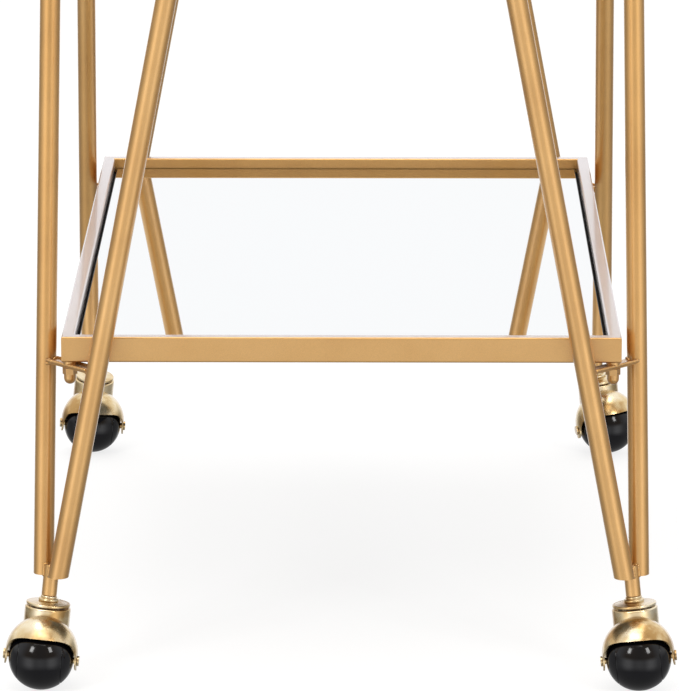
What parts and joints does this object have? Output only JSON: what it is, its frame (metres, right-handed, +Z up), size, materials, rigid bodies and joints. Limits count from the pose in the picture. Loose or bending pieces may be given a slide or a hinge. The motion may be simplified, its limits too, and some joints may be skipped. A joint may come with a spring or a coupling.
{
  "type": "bar cart",
  "caption": "Two-tier rectangular bar cart: gold tube hoops meeting in a V at each corner over a hooded ball caster, mirror lower shelf and glass upper shelf.",
  "frame": {"origin": "on the floor, in the middle of the bounding box", "axes": "+Z up, X across the short ends, Y along the long sides; the open mouths of the caster hoods face -Y within 14 degrees"},
  "size_m": [0.5278, 0.7622, 0.8181],
  "materials": {
    "gold_paint": "satin",
    "brass": "satin",
    "black_ball": "gloss",
    "mirror": "polished",
    "mirror_back": "matte",
    "clear_glass": "polished",
    "clear_pad": "satin",
    "black_foam": "matte",
    "bearing_steel": "polished"
  },
  "bodies": {
    "frame": {"front_end_hoop": "gold_paint", "rear_end_hoop": "gold_paint", "left_side_hoop": "gold_paint", "right_side_hoop": "gold_paint", "leg_end_caps": "gold_paint", "socket_front_left": "gold_paint", "socket_front_right": "gold_paint", "socket_rear_left": "gold_paint", "socket_rear_right": "gold_paint", "lower_front_rail": "gold_paint", "lower_rear_rail": "gold_paint", "lower_left_rail": "gold_paint", "lower_right_rail": "gold_paint", "upper_front_rail": "gold_paint", "upper_rear_rail": "gold_paint", "upper_left_rail": "gold_paint", "upper_right_rail": "gold_paint", "lower_ledge_tabs": "gold_paint", "mirror_pads": "clear_pad", "upper_ledge_tabs": "gold_paint", "glass_pads": "clear_pad", "mirror_gasket": "black_foam", "corner_bar_front_left": "gold_paint", "corner_bar_front_right": "gold_paint", "corner_bar_rear_left": "gold_paint", "corner_bar_rear_right": "gold_paint", "upper_tabs_front": "gold_paint", "upper_tabs_rear": "gold_paint", "upper_tabs_left": "gold_paint", "upper_tabs_right": "gold_paint", "lower_studs": "gold_paint", "lower_acorn_nuts": "gold_paint", "upper_studs": "gold_paint", "upper_acorn_nuts": "gold_paint", "lower_spacers": "gold_paint", "caster_stem_front_left": "brass", "caster_cap_front_left": "brass", "caster_stem_front_right": "brass", "caster_cap_front_right": "brass", "caster_stem_rear_left": "brass", "caster_cap_rear_left": "brass", "caster_stem_rear_right": "brass", "caster_cap_rear_right": "brass", "swivel_bearings": "bearing_steel"},
    "swivel_front_left": {"caster_hood_front_left": "brass", "caster_axle_front_left": "brass"},
    "wheel_front_left": {"caster_ball_front_left": "black_ball"},
    "swivel_front_right": {"caster_hood_front_right": "brass", "caster_axle_front_right": "brass"},
    "wheel_front_right": {"caster_ball_front_right": "black_ball"},
    "swivel_rear_left": {"caster_hood_rear_left": "brass", "caster_axle_rear_left": "brass"},
    "wheel_rear_left": {"caster_ball_rear_left": "black_ball"},
    "swivel_rear_right": {"caster_hood_rear_right": "brass", "caster_axle_rear_right": "brass"},
    "wheel_rear_right": {"caster_ball_rear_right": "black_ball"},
    "mirror_panel": {"mirror_glass": "mirror", "mirror_backing": "mirror_back"},
    "glass_panel": {"top_glass": "clear_glass"}
  },
  "joints": [
    {"name": "swivel_front_left", "type": "hinge", "parent": "frame", "child": "swivel_front_left", "pos_m": [-0.23354, -0.33681, 0.0234], "axis": [0.1015, 0.1015, 0.9896], "continuous": true},
    {"name": "roll_front_left", "type": "hinge", "parent": "swivel_front_left", "child": "wheel_front_left", "pos_m": [-0.23417, -0.3557, 0.0254], "axis": [0.9943, -0.0434, -0.0975], "continuous": true},
    {"name": "swivel_front_right", "type": "hinge", "parent": "frame", "child": "swivel_front_right", "pos_m": [0.23002, -0.33679, 0.02359], "axis": [-0.1015, 0.1015, 0.9896], "continuous": true},
    {"name": "roll_front_right", "type": "hinge", "parent": "swivel_front_right", "child": "wheel_front_right", "pos_m": [0.22883, -0.35567, 0.0254], "axis": [0.9929, -0.052, 0.1072], "continuous": true},
    {"name": "swivel_rear_left", "type": "hinge", "parent": "frame", "child": "swivel_rear_left", "pos_m": [-0.23311, 0.36434, 0.02754], "axis": [0.1015, -0.1015, 0.9896], "continuous": true},
    {"name": "roll_rear_left", "type": "hinge", "parent": "swivel_rear_left", "child": "wheel_rear_left", "pos_m": [-0.231, 0.34558, 0.0254], "axis": [0.9886, 0.1214, -0.0889], "continuous": true},
    {"name": "swivel_rear_right", "type": "hinge", "parent": "frame", "child": "swivel_rear_right", "pos_m": [0.22969, 0.36441, 0.02679], "axis": [-0.1015, -0.1015, 0.9896], "continuous": true},
    {"name": "roll_rear_right", "type": "hinge", "parent": "swivel_rear_right", "child": "wheel_rear_right", "pos_m": [0.23444, 0.34607, 0.0254], "axis": [0.9629, 0.2401, 0.1234], "continuous": true},
    {"name": "mirror_lift", "type": "slide", "parent": "frame", "child": "mirror_panel", "axis": [0, 0, 1], "range_m": [0, 0.12]},
    {"name": "glass_lift", "type": "slide", "parent": "frame", "child": "glass_panel", "axis": [0, 0, 1], "range_m": [0, 0.15]}
  ]
}
